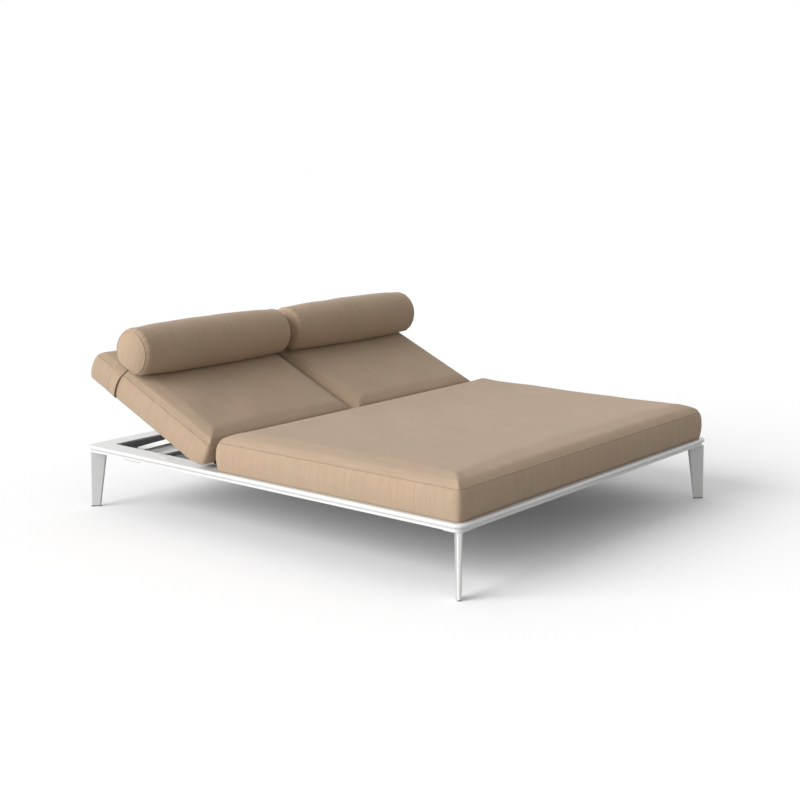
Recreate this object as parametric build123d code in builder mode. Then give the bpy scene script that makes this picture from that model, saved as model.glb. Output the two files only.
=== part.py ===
import os
from math import asin, cos, pi, radians, sin

from build123d import *

os.makedirs("parts", exist_ok=True)

# Double chaise lounger: a low powder-coated aluminium frame with one wide seat cushion and two
# lifting backs side by side. The foot end is at -Y, the head end at +Y and the floor at z = 0.
# Left is -X and right is +X. All sizes are in millimetres and all angles in degrees.

# Overall sizes
overall_length = 2000
overall_width = 1810
rail_top = 272
overrun = 10
touch_gap = 0.3

# Rails of the base frame
rail_height = 30
lip_height = 17
lip_radius = 8
corner_radius = 40
band_inset = 11
box_width = 34
box_wall = 3
flange_reach = 89
flange_thickness = 4
rebate_width = 20
rebate_depth = 1.2

# Legs
leg_top_width = 72
leg_bottom_width = 44
leg_top_thickness = 21
leg_bottom_thickness = 15
leg_edge_radius = 7
leg_top_setback = 18
leg_bottom_setback = 12
leg_plate_thickness = 3
leg_plate_length = 74
leg_plate_margin = 2
leg_plate_corner = 5
glide_height = 5
glide_inset = 1
glide_corner = 4
glide_spigot_height = 12
glide_spigot_share = 0.5

# Beams under the seat
hinge_beam_depth = 50
hinge_beam_height = 38
seat_beam_depth = 40
seat_beam_height = 16
seat_beam_count = 2
spine_width = 40
spine_height = 28
sling_thickness = 1.2

# Hinge of the backs
head_run = 680
hinge_z = 258.3
hinge_beam_gap = 25
ear_thickness = 6
ear_radius = 11.5
ear_height = 30
ear_gap = 0.5
pin_radius = 4
pin_clearance = 0.05
pin_head_radius = 7
pin_head_height = 2
pin_head_sides = 6
centre_gap = 13

# Backs, drawn from the hinge: s runs up the slope and n stands square to it
back_angle = 24.07
back_side_inset = 108
back_length = 581
tube_width = 30
tube_wall = 2
tube_top = 12.8
tube_bottom = -10.7
foot_tube_start = -14
middle_tube_start = 150
mesh_thickness = 1

# Stays that prop the backs
stay_pivot = 223.3
stay_length = 310
stay_angle = 17.75
stay_arm_thickness = 8
stay_arm_gap = 1
stay_foot_eye = 8.5
stay_head_eye = 10
stay_rod_radius = 6
stay_ratio = 1.68

# Stay beam, racks and bumpers in the head bay
stay_beam_run = 388
stay_beam_depth = 97
stay_beam_top = 240
stay_beam_height = 14
stay_beam_edge = 2
rack_thickness = 8
rack_inset = 18
rack_clearance = 0.8
rack_notch_width = 9
rack_notch_depth = 2.6
rack_overhang = 10
rack_drop = 7
rack_stop_angles = (0, 12, back_angle, 36, 46)
rack_edge_count = 10
bumper_size = 18
bumper_setback = 42

# Tray under the head bay
tray_floor = 224
tray_thickness = 1.5
tray_side_inset = 101
tray_run = 25
tray_end_gap = 6
tray_front_gap = 4
tray_rim = 30
tray_corner_radius = 12

# Seat cushion
seat_side_inset = 17
seat_foot_inset = 17
seat_end_gap = 101
seat_seam_height = 116
seat_crown = 33
seat_corner_radius = 18
seat_bow = 3

# Back cushions
cushion_base = 15.6
cushion_length = 771
cushion_foot_start = -42
cushion_seam_height = 115
cushion_crown = 32
cushion_corner_radius = 16
cushion_side_inset = 19
cushion_inner = 3
relief_radius = 178
relief_run = 100

# Outline of every cushion: how far each level stands inside the widest one, and how high it is
edge_roll = 9
boxing_level_shares = (0, 0.05, 0.28, 0.66, 0.9, 1)
boxing_inset_shares = (1, 0.45, 0, 0, 0.35, 1)
crown_level_shares = (0.4, 0.72, 0.93, 1)
crown_reach_shares = (0.12, 0.35, 0.68, 1)
crown_reach = 82

# Straps and bolsters
strap_start = 545
strap_width = 61
strap_thickness = 1.2
strap_gap = 0.9
bolster_radius = 104
bolster_place = 536.5
bolster_height = 237.5
bolster_inner = 2
bolster_side_inset = 21
bolster_dome = 46
bolster_dome_count = 4

half_width = overall_width / 2
half_length = overall_length / 2
hinge_y = half_length - head_run
seat_end = hinge_y - seat_end_gap
tray_start = hinge_y + tray_run
stay_beam_start = hinge_y + stay_beam_run
tray_half_width = half_width - tray_side_inset
back_outer = half_width - back_side_inset
cushion_outer = half_width - cushion_side_inset
bolster_outer = half_width - bolster_side_inset
rail_bottom = rail_top - rail_height
band_radius = corner_radius - band_inset
band_half_width = half_width - band_inset
band_half_length = half_length - band_inset
web_half_width = band_half_width - box_width
web_half_length = band_half_length - box_width
bay_half_width = half_width - flange_reach
bay_half_length = half_length - flange_reach
flange_bottom = rail_top - flange_thickness
sides = {"left": -1, "right": 1}
ends = {"foot": -1, "head": 1}

slope_cos = cos(radians(back_angle))
slope_sin = sin(radians(back_angle))
hinge_beam_front = hinge_y - hinge_beam_gap - hinge_beam_depth
hinge_beam_back = hinge_y - hinge_beam_gap
rebate_end = hinge_beam_front + rebate_width


def finish(part, label):
    """Name one sub-part and write its file."""
    part.label = label
    export_step(part, "parts/" + label + ".step")


def slope_point(x, s, n):
    """A point of a back at rest, from its place up the slope and square to it."""
    return (x, hinge_y + s * slope_cos - n * slope_sin, hinge_z + s * slope_sin + n * slope_cos)


def slope_side(x):
    """A plane square to X, where a sketch's own x runs up the slope and its y off it."""
    return Plane(origin=slope_point(x, 0, 0), x_dir=(0, slope_cos, slope_sin), z_dir=(1, 0, 0))


def slope_plan(n):
    """A plane along the slope, where a sketch's own x is X and its y runs up the slope."""
    return Plane(origin=slope_point(0, 0, n), x_dir=(1, 0, 0), z_dir=(0, -slope_sin, slope_cos))


def slope_cut(s):
    """A plane square to the slope, where a sketch's own x is X and its y stands off it."""
    return Plane(origin=slope_point(0, s, 0), x_dir=(1, 0, 0), z_dir=(0, -slope_cos, -slope_sin))


def side_plane(x):
    """An upright plane square to X, where a sketch's own x is Y and its y is Z."""
    return Plane(origin=(x, 0, 0), x_dir=(0, 1, 0), z_dir=(1, 0, 0))


def middle(a, b):
    """The value half way between two."""
    return (a + b) / 2


# Base frame: four hollow extrusions, mitred and welded, with a rounded lip and a thin flange
def rail(label, sign, along_x):
    """One rail: the whole ring of the base frame's section, cut to its mitres."""
    with BuildPart() as piece:
        with BuildSketch(Plane.XY.offset(rail_top - lip_height)):
            RectangleRounded(overall_width, overall_length, corner_radius)
        extrude(amount=lip_height)
        lip_edges = piece.faces().sort_by(Axis.Z)[-1].edges() + piece.faces().sort_by(Axis.Z)[0].edges()
        fillet(lip_edges, lip_radius)
        with BuildSketch(Plane.XY.offset(rail_bottom)):
            RectangleRounded(2 * band_half_width, 2 * band_half_length, band_radius)
        extrude(amount=rail_height - lip_radius)
        with BuildSketch(Plane.XY.offset(rail_bottom)):
            Rectangle(2 * web_half_width, 2 * web_half_length)
        extrude(amount=rail_height - flange_thickness, mode=Mode.SUBTRACT)
        with BuildSketch(Plane.XY.offset(rail_bottom)):
            Rectangle(2 * bay_half_width, 2 * bay_half_length)
        extrude(amount=rail_height, mode=Mode.SUBTRACT)
        with BuildSketch(Plane.XY.offset(rail_bottom + box_wall)):
            hollow_width = 2 * (band_half_width - box_wall)
            hollow_length = 2 * (band_half_length - box_wall)
            RectangleRounded(hollow_width, hollow_length, band_radius - box_wall)
            Rectangle(2 * (web_half_width + box_wall), 2 * (web_half_length + box_wall), mode=Mode.SUBTRACT)
        extrude(amount=rail_height - box_wall - flange_thickness, mode=Mode.SUBTRACT)
        rebate_length = bay_half_length + rebate_width + rebate_end
        with BuildSketch(Plane.XY.offset(rail_top - rebate_depth)):
            with Locations((0, rebate_end - rebate_length / 2)):
                Rectangle(2 * (bay_half_width + rebate_width), rebate_length)
        extrude(amount=rebate_depth, mode=Mode.SUBTRACT)
        for turn in (-1, 1):
            if along_x:
                corner_point = (turn * half_width, sign * half_length, 0)
                inward = (-turn, sign, 0)
            else:
                corner_point = (sign * half_width, turn * half_length, 0)
                inward = (sign, -turn, 0)
            split(bisect_by=Plane(origin=corner_point, z_dir=inward), keep=Keep.TOP)
    finish(piece.part, label)


for side_name, side_sign in sides.items():
    rail("side_rail_" + side_name, side_sign, along_x=False)
for end_name, end_sign in ends.items():
    rail(end_name + "_rail", end_sign, along_x=True)


# Legs: cast blades set across each corner, wide under the rails and narrow at the floor
def leg_plane(side_sign, end_sign, height):
    """A level plane at one corner, where a sketch's own x runs inwards across the corner."""
    origin = (side_sign * half_width, end_sign * half_length, height)
    return Plane(origin=origin, x_dir=(-side_sign, -end_sign, 0), z_dir=(0, 0, 1))


def leg_outline(plane, bottom, top, blade_top):
    """One outline of the blade, from its two places at the floor to its two places at the top."""
    with BuildSketch(plane) as outline:
        with BuildLine():
            Polyline(
                (bottom[0], glide_height),
                (bottom[1], glide_height),
                (top[1], blade_top),
                (top[0], blade_top),
                close=True,
            )
        make_face()
    return outline.sketch


for side_name, side_sign in sides.items():
    for end_name, end_sign in ends.items():
        blade_top = rail_bottom - leg_plate_thickness
        arm_x = side_sign * (band_half_width - leg_plate_margin)
        arm_y = end_sign * (band_half_length - leg_plate_margin)
        plate_width = box_width - 2 * leg_plate_margin
        with BuildPart() as leg:
            corner = (side_sign * half_width, end_sign * half_length, 0)
            inward = (-side_sign, -end_sign, 0)
            outward = (side_sign, end_sign, 0)
            beside = (-end_sign, side_sign, 0)
            side_view = Plane(origin=corner, x_dir=inward, z_dir=beside)
            end_view = Plane(origin=corner, x_dir=beside, z_dir=outward)
            wide_bottom = (leg_bottom_setback, leg_bottom_setback + leg_bottom_width)
            wide_top = (leg_top_setback, leg_top_setback + leg_top_width)
            thin_bottom = (-leg_bottom_thickness / 2, leg_bottom_thickness / 2)
            thin_top = (-leg_top_thickness / 2, leg_top_thickness / 2)
            blade = leg_outline(side_view, wide_bottom, wide_top, blade_top)
            extrude(blade, amount=leg_top_thickness, both=True)
            taper = leg_outline(end_view, thin_bottom, thin_top, blade_top)
            extrude(taper, amount=-2 * wide_top[1], mode=Mode.INTERSECT)
            fillet(leg.edges().filter_by(Plane.XY, reverse=True), leg_edge_radius)
            with BuildSketch(Plane.XY.offset(blade_top)) as plate:
                long_place = arm_x - side_sign * leg_plate_length / 2
                with Locations((long_place, arm_y - end_sign * plate_width / 2)):
                    Rectangle(leg_plate_length, plate_width)
                long_place = arm_y - end_sign * leg_plate_length / 2
                with Locations((arm_x - side_sign * plate_width / 2, long_place)):
                    Rectangle(plate_width, leg_plate_length)
                fillet(plate.vertices(), leg_plate_corner)
                plate_reach_x = 2 * (band_half_width - leg_plate_margin)
                plate_reach_y = 2 * (band_half_length - leg_plate_margin)
                plate_radius = band_radius - leg_plate_margin
                RectangleRounded(plate_reach_x, plate_reach_y, plate_radius, mode=Mode.INTERSECT)
            extrude(amount=leg_plate_thickness)
            spigot_length = leg_bottom_width * glide_spigot_share
            with BuildSketch(leg_plane(side_sign, end_sign, glide_height)):
                with Locations((leg_bottom_setback + leg_bottom_width / 2, 0)):
                    Rectangle(spigot_length, leg_bottom_thickness * glide_spigot_share)
            extrude(amount=glide_spigot_height, mode=Mode.SUBTRACT)
        finish(leg.part, "leg_" + end_name + "_" + side_name)

with BuildPart() as glides:
    for side_sign in sides.values():
        for end_sign in ends.values():
            glide_centre = (leg_bottom_setback + leg_bottom_width / 2, 0)
            with BuildSketch(leg_plane(side_sign, end_sign, 0)) as foot:
                with Locations(glide_centre):
                    glide_width = leg_bottom_width - 2 * glide_inset
                    glide_thickness = leg_bottom_thickness - 2 * glide_inset
                    Rectangle(glide_width, glide_thickness)
                chamfer(foot.vertices(), glide_corner)
            extrude(amount=glide_height)
            with BuildSketch(leg_plane(side_sign, end_sign, glide_height)):
                with Locations(glide_centre):
                    spigot_length = leg_bottom_width * glide_spigot_share
                    Rectangle(spigot_length, leg_bottom_thickness * glide_spigot_share)
            extrude(amount=glide_spigot_height)
finish(glides.part, "leg_glides")

# Beams: the hinge beam, two seat beams and the centre spine they lap into
seat_beam_pitch = (hinge_beam_front + bay_half_length) / (seat_beam_count + 1)
seat_beam_places = [(0, -bay_half_length + seat_beam_pitch * (i + 1)) for i in range(seat_beam_count)]
with BuildPart() as hinge_beam:
    hinge_beam_middle = middle(hinge_beam_front, hinge_beam_back)
    with BuildSketch(Plane.XY.offset(flange_bottom - hinge_beam_height)):
        with Locations((0, hinge_beam_middle)):
            Rectangle(2 * web_half_width, hinge_beam_depth)
    extrude(amount=hinge_beam_height)
    with BuildSketch(Plane.XY.offset(flange_bottom)):
        with Locations((0, hinge_beam_middle)):
            Rectangle(2 * bay_half_width, hinge_beam_depth)
    extrude(amount=flange_thickness - rebate_depth)
finish(hinge_beam.part, "hinge_beam")

with BuildPart() as seat_beams:
    with BuildSketch(Plane.XY.offset(flange_bottom - seat_beam_height)):
        with Locations(*seat_beam_places):
            Rectangle(2 * web_half_width, seat_beam_depth)
    extrude(amount=seat_beam_height)
finish(seat_beams.part, "seat_beams")

with BuildPart() as centre_spine:
    spine_length = hinge_beam_front + web_half_length
    with BuildSketch(Plane.XY.offset(flange_bottom - spine_height)):
        with Locations((0, hinge_beam_front - spine_length / 2)):
            Rectangle(spine_width, spine_length)
    extrude(amount=spine_height)
    with BuildSketch(Plane.XY.offset(flange_bottom - seat_beam_height)):
        with Locations(*seat_beam_places):
            Rectangle(spine_width, seat_beam_depth)
    extrude(amount=seat_beam_height, mode=Mode.SUBTRACT)
finish(centre_spine.part, "centre_spine")

# Seat sling: a sheet of outdoor mesh laid in the rebate round the seat bay
with BuildPart() as seat_sling:
    sling_length = bay_half_length + rebate_width + rebate_end
    with BuildSketch(Plane.XY.offset(rail_top - sling_thickness)):
        with Locations((0, rebate_end - sling_length / 2)):
            Rectangle(2 * (bay_half_width + rebate_width), sling_length)
    extrude(amount=sling_thickness)
finish(seat_sling.part, "seat_sling")

# Hinge ears: plates on the hinge beam, one at each side of each back, bored for the pins
ear_places = []
for side_sign in sides.values():
    ear_places.append(side_sign * back_outer + side_sign * (ear_gap + ear_thickness / 2))
    ear_places.append(side_sign * (centre_gap - ear_gap - ear_thickness / 2))
with BuildPart() as hinge_ears:
    for ear_x in ear_places:
        with BuildSketch(side_plane(ear_x - ear_thickness / 2)):
            with Locations((hinge_y, hinge_z)):
                Circle(ear_radius)
            with Locations((middle(hinge_beam_back, hinge_y), hinge_z + ear_radius - ear_height / 2)):
                Rectangle(hinge_y - hinge_beam_back, ear_height)
            with Locations((hinge_y, hinge_z)):
                Circle(pin_radius + pin_clearance, mode=Mode.SUBTRACT)
        extrude(amount=ear_thickness)
finish(hinge_ears.part, "hinge_ears")

# Tray under the head bay: a folded dark sheet that hangs by its rim from the flanges
tray_end = bay_half_length - tray_end_gap
tray_length = tray_end - tray_start
tray_top = flange_bottom
with BuildPart() as head_tray:
    with BuildSketch(Plane.XY.offset(tray_floor)):
        with Locations((0, middle(tray_start, tray_end))):
            RectangleRounded(2 * tray_half_width, tray_length, tray_corner_radius)
    extrude(amount=tray_top - tray_floor)
    with BuildSketch(Plane.XY.offset(tray_top - tray_thickness)):
        with Locations((0, middle(tray_start, tray_end + tray_rim))):
            Rectangle(2 * (tray_half_width + tray_rim), tray_length + tray_rim)
    extrude(amount=tray_thickness)
    with BuildSketch(Plane.XY.offset(tray_floor + tray_thickness)):
        with Locations((0, middle(tray_start, tray_end))):
            inner_length = tray_length - 2 * tray_thickness
            inner_radius = tray_corner_radius - tray_thickness
            RectangleRounded(2 * (tray_half_width - tray_thickness), inner_length, inner_radius)
    extrude(amount=tray_top - tray_floor, mode=Mode.SUBTRACT)
    with BuildSketch(Plane.XY.offset(stay_beam_top - stay_beam_height - touch_gap)):
        with Locations((0, stay_beam_start + stay_beam_depth / 2)):
            Rectangle(2 * (tray_half_width + overrun), stay_beam_depth + 2 * touch_gap)
    extrude(amount=stay_beam_height + 2 * touch_gap, mode=Mode.SUBTRACT)
    front_wall_top = hinge_z + tube_bottom - tray_front_gap
    with BuildSketch(Plane.XY.offset(front_wall_top)):
        with Locations((0, tray_start)):
            Rectangle(2 * (tray_half_width - tray_thickness), 2 * tray_corner_radius)
    extrude(amount=tray_top - front_wall_top, mode=Mode.SUBTRACT)
finish(head_tray.part, "head_tray")

# Stay beam: the flat white cross member that carries the racks and the resting bumpers
with BuildPart() as stay_beam:
    with BuildSketch(Plane.XY.offset(stay_beam_top - stay_beam_height)):
        with Locations((0, stay_beam_start + stay_beam_depth / 2)):
            Rectangle(2 * web_half_width, stay_beam_depth)
    extrude(amount=stay_beam_height)
    long_edges = stay_beam.edges().filter_by(Axis.X).group_by(Axis.Z)[-1]
    fillet(long_edges, stay_beam_edge)
finish(stay_beam.part, "stay_beam")


# Stay: how its foot travels while the back turns, which the rack's teeth follow
def stay_foot(angle):
    """Where the stay's foot rod is, in Y and Z, when the back stands at this angle."""
    lean = radians(stay_angle + (stay_ratio - 1) * (angle - back_angle))
    pivot_y = hinge_y + stay_pivot * cos(radians(angle))
    pivot_z = hinge_z + stay_pivot * sin(radians(angle))
    return (pivot_y + stay_length * cos(lean), pivot_z - stay_length * sin(lean))


outer_arm = back_outer - tube_width - stay_arm_gap - stay_arm_thickness
inner_arm = centre_gap + tube_width + stay_arm_gap
rack_places = []
for side_sign in sides.values():
    rack_places.append(side_sign * (outer_arm - rack_inset))
    rack_places.append(side_sign * (inner_arm + stay_arm_thickness + rack_inset))

# Racks: toothed strips whose crowned edge lies just under the path of the foot rod
rack_stations = [stay_foot(angle) for angle in rack_stop_angles]
rack_low = rack_stations[-1][0] - rack_overhang
rack_high = rack_stations[0][0] + rack_overhang
drop = stay_rod_radius + rack_clearance
edge_angles = [rack_stop_angles[-1] * (1 - i / rack_edge_count) for i in range(rack_edge_count + 1)]
crown_edge = [(stay_foot(angle)[0], stay_foot(angle)[1] - drop) for angle in edge_angles]
beam_end = stay_beam_start + stay_beam_depth
with BuildPart() as stay_racks:
    for rack_x in rack_places:
        with BuildSketch(side_plane(rack_x - rack_thickness / 2)):
            with BuildLine():
                Polyline(
                    (rack_low, crown_edge[0][1]),
                    *crown_edge,
                    (rack_high, crown_edge[-1][1]),
                    (rack_high, stay_beam_top - rack_drop),
                    (beam_end + touch_gap, stay_beam_top - rack_drop),
                    (beam_end + touch_gap, stay_beam_top),
                    (rack_low, stay_beam_top),
                    close=True,
                )
            make_face()
            for station in rack_stations:
                notch_top = station[1] - drop + rack_notch_depth
                with BuildLine():
                    Polyline(
                        (station[0] - rack_notch_width, notch_top),
                        (station[0], notch_top - 2 * rack_notch_depth),
                        (station[0] + rack_notch_width, notch_top),
                        close=True,
                    )
                make_face(mode=Mode.SUBTRACT)
        extrude(amount=rack_thickness)
finish(stay_racks.part, "stay_racks")

# Bumpers: rubber pads on the stay beam on which a lowered back's side tubes come to rest
bumper_height = hinge_z + tube_bottom - touch_gap - stay_beam_top
bumper_places = []
for side_sign in sides.values():
    for tube_middle in (back_outer - tube_width / 2, centre_gap + tube_width / 2):
        bumper_places.append((side_sign * tube_middle, stay_beam_start + bumper_setback))
with BuildPart() as bumpers:
    with BuildSketch(Plane.XY.offset(stay_beam_top)):
        with Locations(*bumper_places):
            Rectangle(bumper_size, bumper_size)
    extrude(amount=bumper_height)
finish(bumpers.part, "rest_bumpers")


# Backs: a welded tube frame each, a mesh panel on it, and the pins of its hinge and its stay
def side_tubes(label, sign):
    """The two long tubes of one back, hollow and bored across for the pins."""
    with BuildPart() as tubes:
        for tube_start in (centre_gap, back_outer - tube_width):
            tube_x = sign * tube_start if sign > 0 else -tube_start - tube_width
            with BuildSketch(slope_side(tube_x)):
                with Locations((middle(foot_tube_start, back_length), middle(tube_bottom, tube_top))):
                    Rectangle(back_length - foot_tube_start, tube_top - tube_bottom)
            extrude(amount=tube_width)
            with BuildSketch(slope_side(tube_x + tube_wall)):
                with Locations((middle(foot_tube_start, back_length), middle(tube_bottom, tube_top))):
                    inner_length = back_length - foot_tube_start - 2 * tube_wall
                    Rectangle(inner_length, tube_top - tube_bottom - 2 * tube_wall)
            extrude(amount=tube_width - 2 * tube_wall, mode=Mode.SUBTRACT)
            with BuildSketch(slope_side(tube_x)):
                Circle(pin_radius + pin_clearance)
            extrude(amount=tube_width, mode=Mode.SUBTRACT)
            bored_on_left = (tube_start == centre_gap) == (sign < 0)
            bore_start = tube_x if bored_on_left else tube_x + tube_width - tube_wall
            with BuildSketch(slope_side(bore_start)):
                with Locations((stay_pivot, 0)):
                    Circle(pin_radius + pin_clearance)
            extrude(amount=tube_wall, mode=Mode.SUBTRACT)
    finish(tubes.part, label)


def cross_tubes(label, sign):
    """The foot, middle and head tubes of one back, butted between its side tubes."""
    tube_starts = (foot_tube_start, middle_tube_start, back_length - tube_width)
    tube_length = back_outer - centre_gap - 2 * tube_width
    tube_height = tube_top - tube_bottom
    with BuildPart() as tubes:
        for tube_start in tube_starts:
            tube_x = sign * middle(back_outer, centre_gap) - tube_length / 2
            with BuildSketch(slope_side(tube_x)):
                with Locations((tube_start + tube_width / 2, middle(tube_bottom, tube_top))):
                    Rectangle(tube_width, tube_height)
                    inner_width = tube_width - 2 * tube_wall
                    Rectangle(inner_width, tube_height - 2 * tube_wall, mode=Mode.SUBTRACT)
            extrude(amount=tube_length)
    finish(tubes.part, label)


def back_mesh(label, sign):
    """The mesh panel laced over one back's frame."""
    with BuildPart() as panel:
        with BuildSketch(slope_plan(tube_top)):
            with Locations((sign * middle(back_outer, centre_gap), middle(foot_tube_start, back_length))):
                Rectangle(back_outer - centre_gap, back_length - foot_tube_start)
        extrude(amount=mesh_thickness)
    finish(panel.part, label)


def headed_pins(label, spans, s, n, sign):
    """Pins square to X: each span is its plain end and its headed end, as distances from the centre."""
    with BuildPart() as pins:
        for plain_end, headed_end in spans:
            low = sign * plain_end if sign * plain_end < sign * headed_end else sign * headed_end
            with BuildSketch(slope_side(low)):
                with Locations((s, n)):
                    Circle(pin_radius)
            extrude(amount=abs(headed_end - plain_end))
            head_sign = sign if headed_end > plain_end else -sign
            head_start = sign * headed_end if head_sign > 0 else sign * headed_end - pin_head_height
            with BuildSketch(slope_side(head_start)):
                with Locations((s, n)):
                    RegularPolygon(pin_head_radius, pin_head_sides)
            extrude(amount=pin_head_height)
    finish(pins.part, label)


def stay_arms(label, sign):
    """The two flat arms of one stay, tapered from the pivot eye to the foot eye."""
    pivot = slope_point(0, stay_pivot, 0)
    lean_cos = cos(radians(stay_angle))
    lean_sin = sin(radians(stay_angle))
    tangent = asin((stay_head_eye - stay_foot_eye) / stay_length)
    across = cos(tangent)
    along = sin(tangent)
    with BuildPart() as arms:
        for arm_start in (outer_arm, inner_arm):
            arm_x = sign * arm_start if sign > 0 else -arm_start - stay_arm_thickness
            plane = Plane(
                origin=(arm_x, pivot[1], pivot[2]), x_dir=(0, lean_cos, -lean_sin), z_dir=(1, 0, 0)
            )
            with BuildSketch(plane):
                Circle(stay_head_eye)
                with Locations((stay_length, 0)):
                    Circle(stay_foot_eye)
                with BuildLine():
                    Polyline(
                        (stay_head_eye * along, stay_head_eye * across),
                        (stay_length + stay_foot_eye * along, stay_foot_eye * across),
                        (stay_length + stay_foot_eye * along, -stay_foot_eye * across),
                        (stay_head_eye * along, -stay_head_eye * across),
                        close=True,
                    )
                make_face()
                Circle(pin_radius + pin_clearance, mode=Mode.SUBTRACT)
                with Locations((stay_length, 0)):
                    Circle(stay_rod_radius, mode=Mode.SUBTRACT)
            extrude(amount=stay_arm_thickness)
    finish(arms.part, label)


def stay_rod(label, sign):
    """The round foot rod welded through both arms of one stay."""
    foot = stay_foot(back_angle)
    rod_low = inner_arm
    rod_high = outer_arm + stay_arm_thickness
    with BuildPart() as rod:
        with BuildSketch(side_plane(sign * rod_low if sign > 0 else -rod_high)):
            with Locations(foot):
                Circle(stay_rod_radius)
        extrude(amount=rod_high - rod_low)
    finish(rod.part, label)


# Cushions: stacked level outlines lofted into a boxed side and a crowned top
def cushion_profile(seam_height, crown):
    """Pairs of height and inset, from the underside up the boxing and over the crown."""
    pairs = []
    for level_share, inset_share in zip(boxing_level_shares, boxing_inset_shares):
        pairs.append((seam_height * level_share, edge_roll * inset_share))
    for level_share, reach_share in zip(crown_level_shares, crown_reach_shares):
        pairs.append((seam_height + crown * level_share, edge_roll + crown_reach * reach_share))
    return pairs


def cushion_outline(plane, low, high, inset, radius, bow):
    """One level of a cushion: four sides drawn in between rounded corners."""
    x0, y0 = low[0] + inset, low[1] + inset
    x1, y1 = high[0] - inset, high[1] - inset
    with BuildSketch(plane) as level:
        with BuildLine():
            ThreePointArc((x0, y0), (middle(x0, x1), y0 + bow), (x1, y0))
            ThreePointArc((x1, y0), (x1 - bow, middle(y0, y1)), (x1, y1))
            ThreePointArc((x1, y1), (middle(x0, x1), y1 - bow), (x0, y1))
            ThreePointArc((x0, y1), (x0 + bow, middle(y0, y1)), (x0, y0))
        make_face()
        fillet(level.vertices(), radius)
    return level.sketch


with BuildPart() as seat_cushion:
    seat_low = (-half_width + seat_side_inset, -half_length + seat_foot_inset)
    seat_high = (half_width - seat_side_inset, seat_end)
    levels = []
    for height, inset in cushion_profile(seat_seam_height, seat_crown):
        level_plane = Plane.XY.offset(rail_top + touch_gap + height)
        levels.append(cushion_outline(level_plane, seat_low, seat_high, inset, seat_corner_radius, seat_bow))
    loft(levels, ruled=True)
finish(seat_cushion.part, "seat_cushion")


def back_cushion(label, sign):
    """One back cushion, with the arc that lifts its foot clear of the hinge beam."""
    low_x = cushion_inner if sign > 0 else -cushion_outer
    high_x = cushion_outer if sign > 0 else -cushion_inner
    low = (low_x, cushion_foot_start)
    high = (high_x, cushion_foot_start + cushion_length)
    with BuildPart() as cushion:
        levels = []
        for height, inset in cushion_profile(cushion_seam_height, cushion_crown):
            plane = slope_plan(cushion_base + height)
            levels.append(cushion_outline(plane, low, high, inset, cushion_corner_radius, touch_gap))
        loft(levels, ruled=True)
        arc_start = cushion_foot_start + relief_run
        turn = asin(relief_run / relief_radius)
        rise = relief_radius * (1 - cos(turn))
        half_rise = relief_radius * (1 - cos(turn / 2))
        half_run = relief_radius * sin(turn / 2)
        with BuildSketch(slope_side(low_x - overrun)):
            with BuildLine():
                ThreePointArc(
                    (arc_start, cushion_base),
                    (arc_start - half_run, cushion_base + half_rise),
                    (cushion_foot_start, cushion_base + rise),
                )
                Polyline(
                    (cushion_foot_start, cushion_base + rise),
                    (cushion_foot_start - overrun, cushion_base + rise + overrun * sin(turn)),
                    (cushion_foot_start - overrun, cushion_base - overrun),
                    (arc_start, cushion_base - overrun),
                    (arc_start, cushion_base),
                )
            make_face()
        extrude(amount=cushion_outer - cushion_inner + 2 * overrun, mode=Mode.SUBTRACT)
    finish(cushion.part, label)


def strap(label, sign):
    """The fabric band sewn round one back cushion, which holds the bolster to it."""
    pairs = cushion_profile(cushion_seam_height, cushion_crown)
    far = cushion_inner + cushion_outer

    def side_points(thickness):
        points = []
        for height, inset in pairs:
            lift = -touch_gap - thickness if height < edge_roll else strap_gap + thickness
            x = cushion_outer - inset + strap_gap + thickness
            points.append((sign * x, cushion_base + height + lift))
        return points

    with BuildPart() as band:
        with BuildSketch(slope_cut(strap_start + strap_width)):
            for thickness, mode in ((strap_thickness, Mode.ADD), (0, Mode.SUBTRACT)):
                with BuildLine():
                    rising = side_points(thickness)
                    falling = [(sign * far - x, n) for x, n in reversed(rising)]
                    Polyline(*rising, *falling, close=True)
                make_face(mode=mode)
        extrude(amount=strap_width)
    finish(band.part, label)


def bolster(label, sign):
    """One neck roll: a round body with domed ends, pressed flat where it lies on its cushion."""
    centre = slope_point(0, bolster_place, bolster_height)
    axis_plane = Plane(origin=centre, x_dir=(sign, 0, 0), z_dir=(0, -1, 0))
    dome = []
    for i in range(1, bolster_dome_count + 1):
        turn = pi / 2 * i / bolster_dome_count
        dome.append((bolster_dome * (1 - cos(turn)), bolster_radius * sin(turn)))
    inner_end = [(bolster_inner + x, radius) for x, radius in dome]
    outer_end = [(bolster_outer - x, radius) for x, radius in reversed(dome)]
    with BuildPart() as roll:
        with BuildSketch(axis_plane):
            with BuildLine():
                Polyline((bolster_inner, 0), *inner_end, *outer_end, (bolster_outer, 0), close=True)
            make_face()
        revolve(axis=Axis(centre, (1, 0, 0)))
        strap_top = cushion_base + cushion_seam_height + cushion_crown + strap_gap + strap_thickness
        with BuildSketch(slope_plan(strap_top + touch_gap)):
            with Locations((sign * middle(bolster_inner, bolster_outer), bolster_place)):
                Rectangle(bolster_outer - bolster_inner + 2 * overrun, 2 * bolster_radius)
        extrude(amount=-bolster_radius, mode=Mode.SUBTRACT)
    finish(roll.part, label)


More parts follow.
